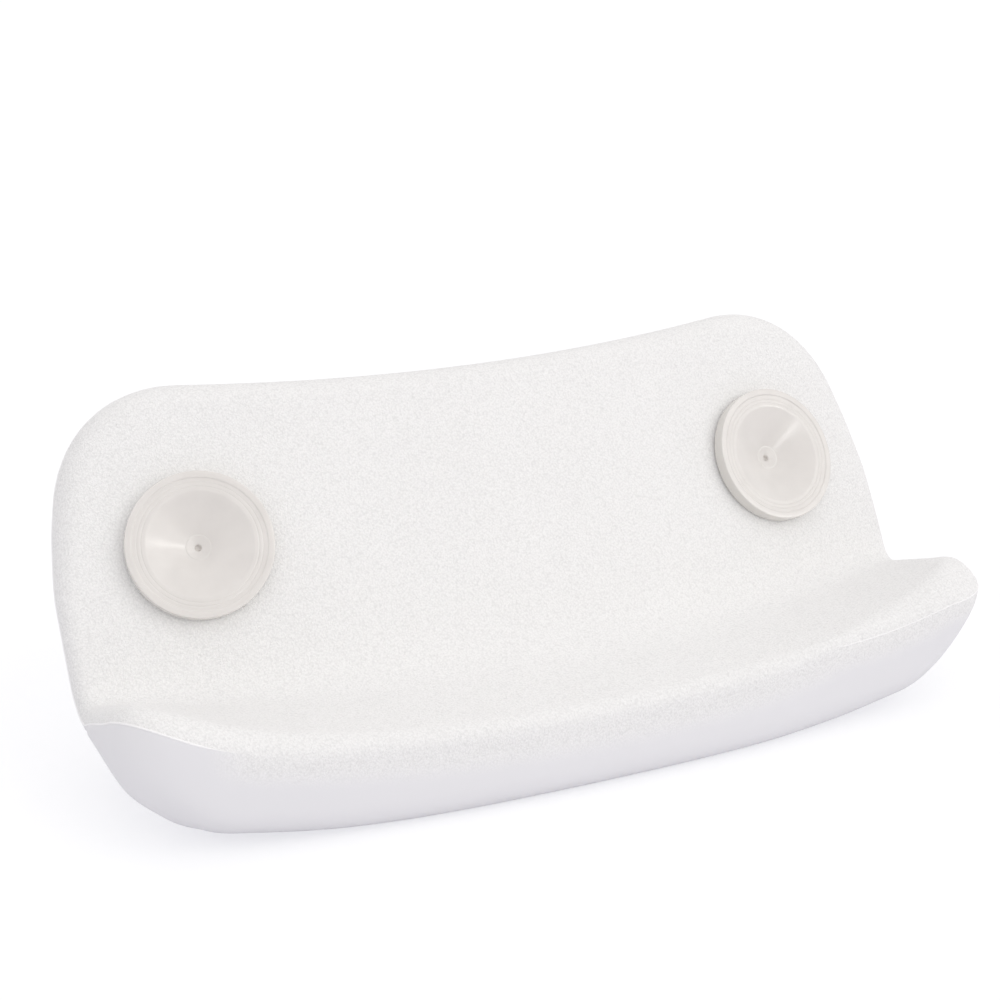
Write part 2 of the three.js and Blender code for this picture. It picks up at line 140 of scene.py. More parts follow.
def makeLight(values):
    world = bpy.data.worlds.new("paleRoom")
    world.use_nodes = True
    tree = world.node_tree
    tree.nodes.clear()
    path = addNode(tree, "ShaderNodeLightPath")
    seen = addNode(tree, "ShaderNodeMath", {0: path.outputs["Is Camera Ray"], 1: path.outputs["Is Glossy Ray"]},
                   operation="MAXIMUM")
    seenToo = addNode(tree, "ShaderNodeMath", {0: seen.outputs[0], 1: path.outputs["Is Transmission Ray"]},
                      operation="MAXIMUM")
    where = addNode(tree, "ShaderNodeTexCoord").outputs["Generated"]
    height = addNode(tree, "ShaderNodeSeparateXYZ", {"Vector": where}).outputs["Z"]
    above = addNode(tree, "ShaderNodeMath", {0: height, 1: 0.0}, operation="MAXIMUM")
    square = addNode(tree, "ShaderNodeMath", {0: above.outputs[0], 1: 2.0}, operation="POWER")
    bright = addNode(tree, "ShaderNodeMath",
                     {0: square.outputs[0], 1: values["skyStrength"], 2: values["roomStrength"]},
                     operation="MULTIPLY_ADD")
    lit = addNode(tree, "ShaderNodeBackground", {"Color": linear(values["room"]), "Strength": bright.outputs[0]})
    shown = addNode(tree, "ShaderNodeBackground", {"Color": (1, 1, 1, 1), "Strength": 1})
    mixed = addNode(tree, "ShaderNodeMixShader", {0: seenToo.outputs[0], 1: lit.outputs[0], 2: shown.outputs[0]})
    addNode(tree, "ShaderNodeOutputWorld", {"Surface": mixed.outputs[0]})
    bpy.context.scene.world = world
    addSun("softLamp", values["lampFrom"], values["lampStrength"], values["lampAngle"], values["lamp"])
    addSun("softFill", values["fillFrom"], values["fillStrength"], values["fillAngle"], values["lamp"])
    # two small windows that only show as shine
    for k, place in enumerate(values["glints"]):
        glint = addSun(f"glint{k + 1}", place, values["glintStrength"], values["glintAngle"], values["lamp"])
        glint.visible_diffuse = False


makeLight(lightValues)

# Floor: the camera sees it darker with a glow of its own, so it reads as white and keeps the object's soft shadow
floorValues = {"halfSize": 12, "dropMm": 0.2, "color": "#f4f4f8", "seenColor": "#a3a39d", "glowColor": "#f6f6fc",
               "seenGlow": 0.74}


def makeFloor(values):
    half = values["halfSize"]
    mesh = bpy.data.meshes.new("floor")
    mesh.from_pydata([(-half, -half, 0), (half, -half, 0), (half, half, 0), (-half, half, 0)], [], [(0, 1, 2, 3)])
    floor = bpy.data.objects.new("floor", mesh)
    floor.location.z = -values["dropMm"] * mm
    bpy.context.scene.collection.objects.link(floor)
    material, tree = newMaterial("paleFloorPaint")
    path = addNode(tree, "ShaderNodeLightPath")
    plain = addNode(tree, "ShaderNodeBsdfDiffuse", {"Color": linear(values["color"])})
    dim = addNode(tree, "ShaderNodeBsdfDiffuse", {"Color": linear(values["seenColor"])})
    glow = addNode(tree, "ShaderNodeEmission",
                   {"Color": linear(values["glowColor"]), "Strength": values["seenGlow"]})
    bright = addNode(tree, "ShaderNodeAddShader", {0: dim.outputs[0], 1: glow.outputs[0]})
    mixed = addNode(tree, "ShaderNodeMixShader",
                    {0: path.outputs["Is Camera Ray"], 1: plain.outputs[0], 2: bright.outputs[0]})
    closeMaterial(tree, mixed)
    mesh.materials.append(material)


makeFloor(floorValues)
print("stage: light and floor")

# White polyurethane skin, cast in a mould: fine leather pebbles behind, smooth in front, faint clouds, soft sheen;
# the hollows between the pebbles are painted darker as shade, and the smooth front is painted a darker lavender as
# shade
# Real pores are nearer 0.1 mm wide, and are drawn at 0.3 mm so that they show
skinValues = {
    # plain is painted darker and lavender, as the shade on the smooth front; line is painted paler, as a highlight on
    # the moulding line
    "pale": "#fcfbfa", "deep": "#ebeae9", "plain": "#ebeaec", "line": "#fdfcfc",
    "grainMm": 0.6, "bendMm": 2.4, "poreMm": 0.3, "cloudMm": 40, "grainDepthMm": 0.2,
    "pebbleShare": 0.8, "cloudShare": 0.15, "tintRange": (0.2, 0.85), "heightRange": (-0.4, 0.8),
    "roughness": (0.63, 0.5), "lineRoughness": (0.45, 0.55), "ior": 1.48,
}


def makeSkinMaterial(values):
    material, tree = newMaterial("castPolyurethaneSkin")
    where = addNode(tree, "ShaderNodeTexCoord").outputs["Object"]
    bend = addNode(tree, "ShaderNodeTexNoise", {"Vector": where, "Scale": 1000 / values["bendMm"], "Detail": 1})
    shift = addNode(tree, "ShaderNodeVectorMath", {0: bend.outputs["Color"], 1: (values["grainMm"] * mm,) * 3},
                    operation="MULTIPLY")
    bent = addNode(tree, "ShaderNodeVectorMath", {0: where, 1: shift.outputs[0]}, operation="ADD")
    pebble = addNode(tree, "ShaderNodeTexVoronoi",
                     {"Vector": bent.outputs[0], "Scale": 1000 / values["grainMm"], "Randomness": 1},
                     feature="SMOOTH_F1")
    pore = addNode(tree, "ShaderNodeTexNoise", {"Vector": where, "Scale": 1000 / values["poreMm"], "Detail": 2})
    height = addNode(tree, "ShaderNodeMath",
                     {0: pebble.outputs["Distance"], 1: -values["pebbleShare"], 2: pore.outputs["Fac"]},
                     operation="MULTIPLY_ADD")
    grainNotShade = addNode(tree, "ShaderNodeAttribute", attribute_name="grainNotShade").outputs["Fac"]
    bump = addNode(tree, "ShaderNodeBump",
                   {"Height": height.outputs[0], "Strength": grainNotShade, "Distance": values["grainDepthMm"] * mm})
    cloud = addNode(tree, "ShaderNodeTexNoise", {"Vector": where, "Scale": 1000 / values["cloudMm"], "Detail": 3})
    # the colour goes deeper in the hollows between the pebbles, painted shade there, and shifts in faint clouds
    hollowShadeAndCloud = addNode(tree, "ShaderNodeMath",
                   {0: cloud.outputs["Fac"], 1: values["cloudShare"], 2: pebble.outputs["Distance"]},
                   operation="MULTIPLY_ADD")
    color = addNode(tree, "ShaderNodeValToRGB", {"Fac": hollowShadeAndCloud.outputs[0]})
    for stop, place, tone in zip(color.color_ramp.elements, values["tintRange"], ("pale", "deep")):
        stop.position = place
        stop.color = linear(values[tone])
    # where the skin has no grain it takes the plain colour: painted shade on the lip's front wall and underside
    shown = addNode(tree, "ShaderNodeMixRGB", {0: grainNotShade, 1: linear(values["plain"]), 2: color.outputs[0]})
    lowest, highest = values["heightRange"]
    inPores, onTops = values["roughness"]
    rough = addNode(tree, "ShaderNodeMapRange",
                    {"Value": height.outputs[0], "From Min": lowest, "From Max": highest, "To Min": inPores,
                     "To Max": onTops})
    shader = addNode(tree, "ShaderNodeBsdfPrincipled",
                     {"Base Color": shown.outputs[0], "Roughness": rough.outputs[0], "Normal": bump.outputs[0],
                      "IOR": values["ior"]})
    closeMaterial(tree, shader)
    return material


def makeLineMaterial(values):
    # the same skin along the mould's joint: smooth, and painted paler as a highlight on the raised line
    material, tree = newMaterial("mouldLinePaintedHighlight")
    where = addNode(tree, "ShaderNodeTexCoord").outputs["Object"]
    fine = addNode(tree, "ShaderNodeTexNoise", {"Vector": where, "Scale": 1000 / values["poreMm"], "Detail": 2})
    least, most = values["lineRoughness"]
    rough = addNode(tree, "ShaderNodeMapRange", {"Value": fine.outputs["Fac"], "To Min": least, "To Max": most})
    shader = addNode(tree, "ShaderNodeBsdfPrincipled",
                     {"Base Color": linear(values["line"]), "Roughness": rough.outputs[0], "IOR": values["ior"]})
    closeMaterial(tree, shader)
    return material


# Milky soft vinyl, injection moulded: glossy, light spreads inside it, faint flow clouds and a fine ripple; the side
# wall is painted grey as shade
cupLook = {
    "pale": "#e6e2de", "deep": "#e0dcd8", "wall": "#dddad5", "cloudMm": 9, "cloudRange": (0.3, 0.75),
    "rippleMm": 0.6, "rippleDepthMm": 0.01, "rippleStrength": 0.6, "roughness": (0.15, 0.26), "spread": 0.2,
    "spreadMm": 2, "ior": 1.5,
}


def makeCupMaterial(values):
    material, tree = newMaterial("mouldedSoftVinyl")
    where = addNode(tree, "ShaderNodeTexCoord").outputs["Object"]
    cloud = addNode(tree, "ShaderNodeTexNoise", {"Vector": where, "Scale": 1000 / values["cloudMm"], "Detail": 3})
    color = addNode(tree, "ShaderNodeValToRGB", {"Fac": cloud.outputs["Fac"]})
    for stop, place, tone in zip(color.color_ramp.elements, values["cloudRange"], ("pale", "deep")):
        stop.position = place
        stop.color = linear(values[tone])
    # the outer side wall is painted greyer than the face, as the shade that falls on it away from the lamp
    paintedWallShade = addNode(tree, "ShaderNodeAttribute", attribute_name="paintedWallShade").outputs["Fac"]
    shown = addNode(tree, "ShaderNodeMixRGB", {0: paintedWallShade, 1: color.outputs[0], 2: linear(values["wall"])})
    ripple = addNode(tree, "ShaderNodeTexNoise", {"Vector": where, "Scale": 1000 / values["rippleMm"], "Detail": 2})
    bump = addNode(tree, "ShaderNodeBump",
                   {"Height": ripple.outputs["Fac"], "Strength": values["rippleStrength"],
                    "Distance": values["rippleDepthMm"] * mm})
    least, most = values["roughness"]
    rough = addNode(tree, "ShaderNodeMapRange", {"Value": cloud.outputs["Fac"], "To Min": least, "To Max": most})
    shader = addNode(tree, "ShaderNodeBsdfPrincipled",
                     {"Base Color": shown.outputs[0], "Roughness": rough.outputs[0], "Normal": bump.outputs[0],
                      "Subsurface Weight": values["spread"], "Subsurface Radius": (1, 1, 1),
                      "Subsurface Scale": values["spreadMm"] * mm, "IOR": values["ior"]})
    closeMaterial(tree, shader)
    return material


# Open-cell cushion foam, poured and cut: matte, cream, pitted with small round cells, the pits painted deeper as
# shade
foamLook = {"pale": "#f1ebdc", "deep": "#d9cfb8", "cellMm": 0.9, "cellDepthMm": 0.35, "cloudMm": 18,
            "tintRange": (0, 0.4), "roughness": 0.95, "sharpAngle": 35}


def makeFoamMaterial(values):
    material, tree = newMaterial("openCellFoam")
    where = addNode(tree, "ShaderNodeTexCoord").outputs["Object"]
    cell = addNode(tree, "ShaderNodeTexVoronoi", {"Vector": where, "Scale": 1000 / values["cellMm"]})
    cloud = addNode(tree, "ShaderNodeTexNoise", {"Vector": where, "Scale": 1000 / values["cloudMm"], "Detail": 3})
    # deeper in each cell's pit, painted shade there, and varied by faint clouds
    hollowShadeAndCloud = addNode(tree, "ShaderNodeMath", {0: cell.outputs["Distance"], 1: cloud.outputs["Fac"]},
                   operation="MULTIPLY")
    color = addNode(tree, "ShaderNodeValToRGB", {"Fac": hollowShadeAndCloud.outputs[0]})
    for stop, place, tone in zip(color.color_ramp.elements, values["tintRange"], ("deep", "pale")):
        stop.position = place
        stop.color = linear(values[tone])
    bump = addNode(tree, "ShaderNodeBump",
                   {"Height": cell.outputs["Distance"], "Strength": 1, "Distance": values["cellDepthMm"] * mm})
    shader = addNode(tree, "ShaderNodeBsdfPrincipled",
                     {"Base Color": color.outputs[0], "Roughness": values["roughness"], "Normal": bump.outputs[0]})
    closeMaterial(tree, shader)
    return material


# Plain moulded plastic: satin, with the mould's fine spark-eroded texture and faint flow clouds
# The real texture is nearer 0.1 mm, and is drawn coarser so that it shows
plasticLook = {"flowMm": 14, "flowBend": 1.5, "flowRange": (0.3, 0.75), "textureDepthMm": 0.02}
boardLook = {"name": "mouldedPolypropylene", "pale": "#dededa", "deep": "#d2d2cd", "textureMm": 0.4,
             "roughness": (0.44, 0.58), **plasticLook}
washerLook = {"name": "mouldedNylon", "pale": "#cfd0d1", "deep": "#c2c3c5", "textureMm": 0.3,
              "roughness": (0.36, 0.5), **plasticLook}


def makePlasticMaterial(values):
    material, tree = newMaterial(values["name"])
    where = addNode(tree, "ShaderNodeTexCoord").outputs["Object"]
    flow = addNode(tree, "ShaderNodeTexNoise",
                   {"Vector": where, "Scale": 1000 / values["flowMm"], "Detail": 3, "Distortion": values["flowBend"]})
    color = addNode(tree, "ShaderNodeValToRGB", {"Fac": flow.outputs["Fac"]})
    for stop, place, tone in zip(color.color_ramp.elements, values["flowRange"], ("pale", "deep")):
        stop.position = place
        stop.color = linear(values[tone])
    texture = addNode(tree, "ShaderNodeTexNoise", {"Vector": where, "Scale": 1000 / values["textureMm"], "Detail": 2})
    bump = addNode(tree, "ShaderNodeBump",
                   {"Height": texture.outputs["Fac"], "Strength": 1, "Distance": values["textureDepthMm"] * mm})
    least, most = values["roughness"]
    rough = addNode(tree, "ShaderNodeMapRange", {"Value": flow.outputs["Fac"], "To Min": least, "To Max": most})
    shader = addNode(tree, "ShaderNodeBsdfPrincipled",
                     {"Base Color": color.outputs[0], "Roughness": rough.outputs[0], "Normal": bump.outputs[0]})
    closeMaterial(tree, shader)
    return material


# The body's shape, in millimetres and degrees: the same lines as the solids, drawn finer
body = {
    # the plate, the seat and the lip
    "halfWidth": 148.5, "plateHeight": 102.3, "plateLean": 33, "seatHeight": 31.5, "lipReach": 44.5,
    "lipEdgeHeight": 31.5, "foldRound": 17, "foldRoundEnd": 7, "standFlat": 0.5,
    # how they bow, rise and flare towards the ends
    "freeEdgeBow": 18.5, "freeEdgeRise": 6.5, "foldBow": 21, "lipBow": 12, "lipRise": 5.5, "lipCurl": 21,
    "soleRise": 5.5, "soleCurl": 2, "foldFlare": 3.5, "lipFlare": 0.5, "flareStart": 35, "flareEnd": 66,
    # corners and rolled edges
    "freeCorner": 48, "lipCorner": 19, "edgeRoll": 9, "lipRoll": 5, "foldRoll": 5, "rollFade": 30,
    # the front and the underside
    "shoulderDrop": 26, "shoulderDepth": 27, "shoulderRound": 15, "heelReach": 61, "heelRound": 24,
    "toeSet": 2, "toeRound": 12, "crownWidth": 78, "lipEndWidth": 30, "gap": 0.05,
}
# The lip's two ends are not quite alike: where the parting lies, and how the tips are drawn in
lipEnds = {
    "leftRoll": 7.3, "leftSpan": (70, 130), "leftTrim": 1.4, "leftTrimSpan": (87, 104),
    "leftSwell": 2.3, "leftSwellReach": 12, "leftSwellSpan": (92, 110),
    "rightRoll": ((87, 125, 130, 140, 146), (3, 9, 10, 13.6, 16.9)), "rightSpan": (60, 90),
    "rightSideRoll": 6.7, "rightRollFade": 16, "rightTrim": 1.0, "rightDip": 1.1, "dipFade": 20,
    "tipSpan": (110, 150),
}
# How the skins are finished: their wall, the raised line at the mould's parting, the grain's limits and soft edges
skinShape = {
    "wall": 1.4, "line": 0.3, "leftFade": (118, 130), "rightFade": (80, 95), "rightShare": 0.6,
    "grainFrom": (-128, -112), "grainFade": (4, 14), "wallSwell": 2.2, "wallReach": 28, "swellSpan": (105, 140),
    "shoulderSoft": 5, "fullness": 0.85, "soleSoft": 0.8, "soleFade": 8, "seatHole": 20.3, "sharpAngle": 50,
}
fineSteps = {"perRow": 5, "roll": 16, "end": 14, "half": 24, "nearEdge": (0.03, 0.08, 0.14)}


def mix(a, b, t):
    return a + (b - a) * t


def smoothStep(value, low, high):
    t = np.clip((value - low) / (high - low), 0, 1)
    return t * t * (3 - 2 * t)


def lineBetween(start, end, count=160):
    t = np.linspace(0, 1, count)[:, None]
    return start + (end - start) * t


def bezier(start, corner, end, count=160):
    t = np.linspace(0, 1, count)[:, None]
    return (1 - t) ** 2 * start + 2 * t * (1 - t) * corner + t ** 2 * end


def roundedPath(corners, legs):
    pieces = []
    start = corners[0]
    for k in range(1, len(corners) - 1):
        back = corners[k - 1] - corners[k]
        ahead = corners[k + 1] - corners[k]
        before = corners[k] + back / np.linalg.norm(back) * legs[k - 1]
        after = corners[k] + ahead / np.linalg.norm(ahead) * legs[k - 1]
        pieces += [lineBetween(start, before), bezier(before, corners[k], after)]
        start = after
    return pieces + [lineBetween(start, corners[-1])]


def lengthOf(points):
    return np.concatenate([[0], np.cumsum(np.linalg.norm(np.diff(points, axis=0), axis=1))])


def pathOf(pieces):
    # one path by its share of length, and where each piece of it ends
    ends = np.cumsum([lengthOf(piece)[-1] for piece in pieces])
    points = np.concatenate([pieces[0]] + [piece[1:] for piece in pieces[1:]])
    return points, lengthOf(points), ends


def softened(points, length, middle, reach, count=1200, tails=2.5):
    # rounds a path off round one place, and leaves the rest as it is
    even = np.linspace(0, length[-1], count)
    step = even[1]
    half = int(tails * reach / step)
    spread = np.arange(-half, half + 1) * step
    weight = np.exp(-0.5 * (spread / reach) ** 2)
    weight /= weight.sum()
    share = np.exp(-0.5 * ((even - middle) / (tails * reach)) ** 2)[:, None]
    plain = np.column_stack([np.interp(even, length, points[:, k]) for k in (0, 1)])
    wide = np.pad(plain, ((len(spread) // 2,) * 2, (0, 0)), mode="edge")
    smooth = np.column_stack([np.convolve(wide[:, k], weight, mode="valid") for k in (0, 1)])
    return plain + (smooth - plain) * share, even


lean = math.radians(body["plateLean"])
plateUp = np.array([math.sin(lean), math.cos(lean)])
plateIn = np.array([math.cos(lean), -math.sin(lean)])


def sectionAt(share):
    # the pillow cut across: share 0 is the middle of its width, and 1 is an end
    b = body
    fold = np.array([b["foldBow"] * share, b["seatHeight"]])
    freeEdge = np.array([0, b["seatHeight"]]) + plateUp * b["plateHeight"]
    freeEdge = freeEdge + np.array([b["freeEdgeBow"], b["freeEdgeRise"]]) * share
    lipLift = b["lipRise"] * share + b["lipCurl"] * share ** 2
    lipEdge = np.array([-b["lipReach"] + b["lipBow"] * share, b["lipEdgeHeight"] + lipLift])
    rear = pathOf(roundedPath([freeEdge, fold, lipEdge], [mix(b["foldRound"], b["foldRoundEnd"], share)]))
    parting = freeEdge + plateIn * b["edgeRoll"]
    shoulder = freeEdge - plateUp * b["shoulderDrop"] + plateIn * b["shoulderDepth"]
    sole = b["soleRise"] * share + b["soleCurl"] * share ** 2 - b["standFlat"]
    heel = np.array([b["heelReach"] + b["foldBow"] * share, sole])
    toe = np.array([-b["lipReach"] + b["toeSet"] + b["lipBow"] * share, sole])
    lipParting = lipEdge - np.array([0, b["lipRoll"]])
    crown = [bezier(parting, parting + plateIn * b["shoulderRound"], shoulder)]
    rest = roundedPath([shoulder, heel, toe, lipParting], [b["heelRound"], b["toeRound"]])
    points, length, ends = pathOf(crown + rest)
    soft, even = softened(points, length, ends[0], skinShape["shoulderSoft"])
    return {"rear": rear, "front": (soft, even, ends)}


sections = [sectionAt(share) for share in (0, 0.5, 1)]
rearLength = sections[0]["rear"][1][-1]
frontLength = sections[0]["front"][1][-1]
plateEnd, foldEnd = sections[0]["rear"][2][:2]
crownEnd, faceEnd, heelEnd, soleEnd, toeEnd = sections[0]["front"][2][:5]


def surfacePoint(which, total, x, distance):
    # a point on the rear or the front, from three sections blended by the square of x
    t = np.clip(distance / total, 0, 1)
    share = (x / body["halfWidth"]) ** 2
    weights = [(1 - share) * (1 - 2 * share), 4 * share * (1 - share), share * (2 * share - 1)]
    y = 0
    z = 0
    for weight, section in zip(weights, sections):
        points, length, _ = section[which]
        y = y + weight * np.interp(t * length[-1], length, points[:, 0])
        z = z + weight * np.interp(t * length[-1], length, points[:, 1])
    return np.stack([x + 0 * y, y, z], axis=-1)


def rearBase(x, v):
    return surfacePoint("rear", rearLength, x, v)


def frontBase(x, s):
    return surfacePoint("front", frontLength, x, s)


def unit(vectors):
    return vectors / np.maximum(np.linalg.norm(vectors, axis=-1, keepdims=True), 1e-12)


def rearNormal(x, v, step=0.5):
    down = rearBase(x, np.minimum(v + step, rearLength)) - rearBase(x, np.maximum(v - step, 0))
    across = rearBase(x + step, v) - rearBase(x - step, v)
    return unit(np.cross(down, across))


def cornerInset(radius, distance):
    # how far a round corner draws the outline in
    short = np.clip(radius - distance, 0, radius)
    return radius - np.sqrt(radius ** 2 - short ** 2)


def flareAt(v):
    byFold = body["foldFlare"] * smoothStep(v, body["flareStart"], body["flareEnd"])
    return mix(byFold, body["lipFlare"], smoothStep(v, plateEnd, rearLength))


def halfWidthAt(v):
    corners = cornerInset(body["freeCorner"], v) + cornerInset(body["lipCorner"], rearLength - v)
    return body["halfWidth"] + flareAt(v) - corners


def edgeDistance(x, v):
    # how far a place lies inside the outline
    side = body["halfWidth"] + flareAt(v) - np.abs(x)
    nearest = np.minimum(np.minimum(side, v), rearLength - v)
    for radius, distance in ((body["freeCorner"], v), (body["lipCorner"], rearLength - v)):
        inCorner = (side < radius) & (distance < radius)
        nearest = np.where(inCorner, radius - np.hypot(radius - side, radius - distance), nearest)
    return np.maximum(nearest, 0)


def rollRadius(x, v):
    # at the right end the parting sinks evenly towards the tip
    onLeft = x < 0
    endRoll = np.where(onLeft, lipEnds["leftRoll"], np.interp(x, *lipEnds["rightRoll"]))
    atEnd = np.where(onLeft, smoothStep(-x, *lipEnds["leftSpan"]), smoothStep(x, *lipEnds["rightSpan"]))
    atLip = mix(body["lipRoll"], endRoll, atEnd)
    atSide = mix(body["edgeRoll"], body["foldRoll"], smoothStep(v, body["flareStart"], plateEnd))
    sideRoll = np.where(onLeft, lipEnds["leftRoll"], lipEnds["rightSideRoll"])
    atSide = mix(atSide, sideRoll, smoothStep(v, plateEnd, rearLength - body["lipCorner"]))
    fade = np.where(onLeft, body["rollFade"], lipEnds["rightRollFade"])
    return mix(atLip, atSide, smoothStep(rearLength - v, 0, fade))


def rearPoint(x, v):
    # the rear face, rolled over at its edge down to the parting
    radius = rollRadius(x, v)
    short = np.maximum(radius - edgeDistance(x, v), 0)
    drop = radius - np.sqrt(radius ** 2 - short ** 2)
    return rearBase(x, v) - rearNormal(x, v) * drop[..., None]


def lineShare(x, v):
    # the parting shows round the sides, and melts into the roll along the middle of the lip
    alongLip = smoothStep(v, rearLength - body["lipCorner"], rearLength)
    byRight = skinShape["rightShare"] * smoothStep(x, *skinShape["rightFade"])
    return mix(1, smoothStep(-x, *skinShape["leftFade"]) + byRight, alongLip)


def partingAt(x, v):
    return -rearNormal(x, v) * (rollRadius(x, v) + body["gap"] * lineShare(x, v))[..., None]


def bulge(share):
    # a swell of about 1 that rises fast from the rim and dies away
    return 3.5 * np.sqrt(share) * (1 - share) ** 2


def frontPoint(x, s, v):
    # the front and the underside, crowned between the sides and closed onto the parting
    fromSide = np.maximum(halfWidthAt(v) - np.abs(x), 0)
    crown = (1 - np.maximum(1 - fromSide / body["crownWidth"], 0) ** 2) ** skinShape["fullness"]
    roundEnd = np.sqrt(1 - np.maximum(1 - fromSide / body["lipEndWidth"], 0) ** 2)
    share = mix(crown, roundEnd, smoothStep(s, faceEnd, soleEnd))[..., None]
    base = rearBase(x, v)
    full = frontBase(x, s) - base
    # both ends of the section are drawn onto the rim
    top = partingAt(x, 0 * v) + rearBase(x, 0 * v) - frontBase(x, 0 * s)
    low = partingAt(x, 0 * v + rearLength) + rearBase(x, 0 * v + rearLength) - frontBase(x, 0 * s + frontLength)
    full = full + top * (1 - smoothStep(s, 0, crownEnd))[..., None]
    full = full + low * smoothStep(s, soleEnd, frontLength)[..., None]
    fromEdge = np.clip(edgeDistance(x, v) / skinShape["wallReach"], 0, 1)
    swell = skinShape["wallSwell"] * bulge(fromEdge) * smoothStep(np.abs(x), *skinShape["swellSpan"])
    swell = swell * smoothStep(v, body["flareStart"], plateEnd)
    return base + mix(partingAt(x, v), full, share) - rearNormal(x, v) * swell[..., None]


def stations(stretches):
    rows = [0.0]
    for end, steps, spread in stretches:
        start = rows[-1]
        rows += [mix(start, end, spread(k / steps)) for k in range(1, steps + 1)]
    return np.array(rows)


def evenly(t):
    return t


def closeAtStart(t):
    return 1 - np.cos(t * math.pi / 2)


def closeAtEnd(t):
    return np.sin(t * math.pi / 2)


# the rows down the rear and the front pair off, each stretch with its own count
rearRows = stations([
    (body["edgeRoll"], 3, closeAtStart), (body["freeCorner"], 4, evenly), (plateEnd, 2, evenly),
    (foldEnd, 3, evenly), (rearLength - body["lipCorner"], 1, evenly), (rearLength - body["lipRoll"], 2, evenly),
    (rearLength, 3, closeAtEnd),
])
frontRows = stations([
    (crownEnd, 4, evenly), (faceEnd, 4, evenly), (heelEnd, 3, evenly), (soleEnd, 2, evenly), (toeEnd, 3, evenly),
    (frontLength, 2, evenly),
])


def smoothRows(values, place):
    # a monotone smooth curve through values at whole row numbers
    steps = np.diff(values)
    slopes = np.zeros(len(values))
    slopes[1:-1] = 2 * steps[:-1] * steps[1:] / (steps[:-1] + steps[1:])
    slopes[0] = max(1.5 * steps[0] - 0.5 * steps[1], 0.05 * steps[0])
    slopes[-1] = max(1.5 * steps[-1] - 0.5 * steps[-2], 0.05 * steps[-1])
    row = np.clip(place.astype(int), 0, len(values) - 2)
    t = place - row
    rise = steps[row] * t * t * (3 - 2 * t)
    ease = slopes[row] * t * (1 - t) ** 2 - slopes[row + 1] * t * t * (1 - t)
    return values[row] + rise + ease


rowCount = len(rearRows) - 1
nearEdge = np.array(fineSteps["nearEdge"])
places = np.unique(np.concatenate([
    np.linspace(0, rowCount, rowCount * fineSteps["perRow"] + 1), nearEdge, rowCount - nearEdge,
]))
vRows = smoothRows(rearRows, places)
sRows = smoothRows(frontRows, places)


def columnsAt(halfWidth):
    # the places across one row, closer together towards the sides
    roll = body["edgeRoll"] * closeAtStart(np.linspace(0, 1, fineSteps["roll"] + 1))
    end = np.linspace(body["edgeRoll"], body["lipEndWidth"], fineSteps["end"] + 1)[1:]
    rest = np.linspace(body["lipEndWidth"], halfWidth, fineSteps["half"] + 1)[1:]
    fromSide = np.concatenate([roll, end, rest])
    return np.concatenate([fromSide - halfWidth, (halfWidth - fromSide)[::-1][1:]])


xGrid = np.array([columnsAt(halfWidthAt(v)) for v in vRows])
vGrid = np.repeat(vRows[:, None], xGrid.shape[1], axis=1)
sGrid = np.repeat(sRows[:, None], xGrid.shape[1], axis=1)
rearSheet = rearPoint(xGrid, vGrid)
frontSheet = frontPoint(xGrid, sGrid, vGrid)
# the right tip is drawn in and down a little
byTip = smoothStep(vGrid, plateEnd, rearLength - body["lipCorner"])
atRight = smoothStep(xGrid, *lipEnds["tipSpan"]) * byTip
for sheet in (rearSheet, frontSheet):
    sheet[..., 0] -= lipEnds["rightTrim"] * atRight
    sheet[..., 2] -= lipEnds["rightDip"] * atRight * smoothStep(sheet[..., 2], 0, lipEnds["dipFade"])
# the left tip is drawn in a little, and the wall under it swells out past the parting
atLeft = smoothStep(-xGrid, *lipEnds["tipSpan"])
leftTrim = lipEnds["leftTrim"] * atLeft * smoothStep(vGrid, *lipEnds["leftTrimSpan"])
rearSheet[..., 0] += leftTrim
fromRim = np.clip(edgeDistance(xGrid, vGrid) / lipEnds["leftSwellReach"], 0, 1)
leftSwell = lipEnds["leftSwell"] * bulge(fromRim) * atLeft * smoothStep(vGrid, *lipEnds["leftSwellSpan"])
frontSheet[..., 0] += leftTrim - leftSwell


def easeRim(sheet, normals, fromSide, reach):
    # the first rows by the rim leave it straight inward and run into the face without a step
    start = sheet[0]
    end = sheet[reach]
    steps = np.linalg.norm(np.diff(sheet[:reach + 1], axis=0), axis=-1)
    shares = np.cumsum(steps, axis=0) / steps.sum(axis=0)
    span = np.linalg.norm(end - start, axis=-1, keepdims=True)
    away = unit(sheet[reach + 1] - end) * span
    for k in range(1, reach):
        t = shares[k - 1][:, None]
        eased = ((1 + 2 * t) * (1 - t) ** 2 * start - t * (1 - t) ** 2 * normals * span
                 + t * t * (3 - 2 * t) * end - t * t * (1 - t) * away)
        sheet[k] = mix(sheet[k], eased, smoothStep(fromSide[k], 0, body["lipEndWidth"])[:, None])


rimRows = fineSteps["perRow"] + len(nearEdge)
sideGrid = xGrid[:, -1:] - np.abs(xGrid)
easeRim(frontSheet, rearNormal(xGrid[0], vGrid[0]), sideGrid, rimRows)
easeRim(frontSheet[::-1], rearNormal(xGrid[-1], vGrid[-1]), sideGrid[::-1], rimRows)


def faceCorners(grid):
    # the four corners of every face, in order round it
    return grid[:-1, :-1], grid[1:, :-1], grid[1:, 1:], grid[:-1, 1:]


def gridNormals(sheet):
    # each point's normal from the faces round it
    first, second, third, fourth = faceCorners(sheet)
    faces = np.cross(third - first, fourth - second)
    total = np.zeros(sheet.shape)
    for corner in faceCorners(total):
        corner += faces
    return unit(total)


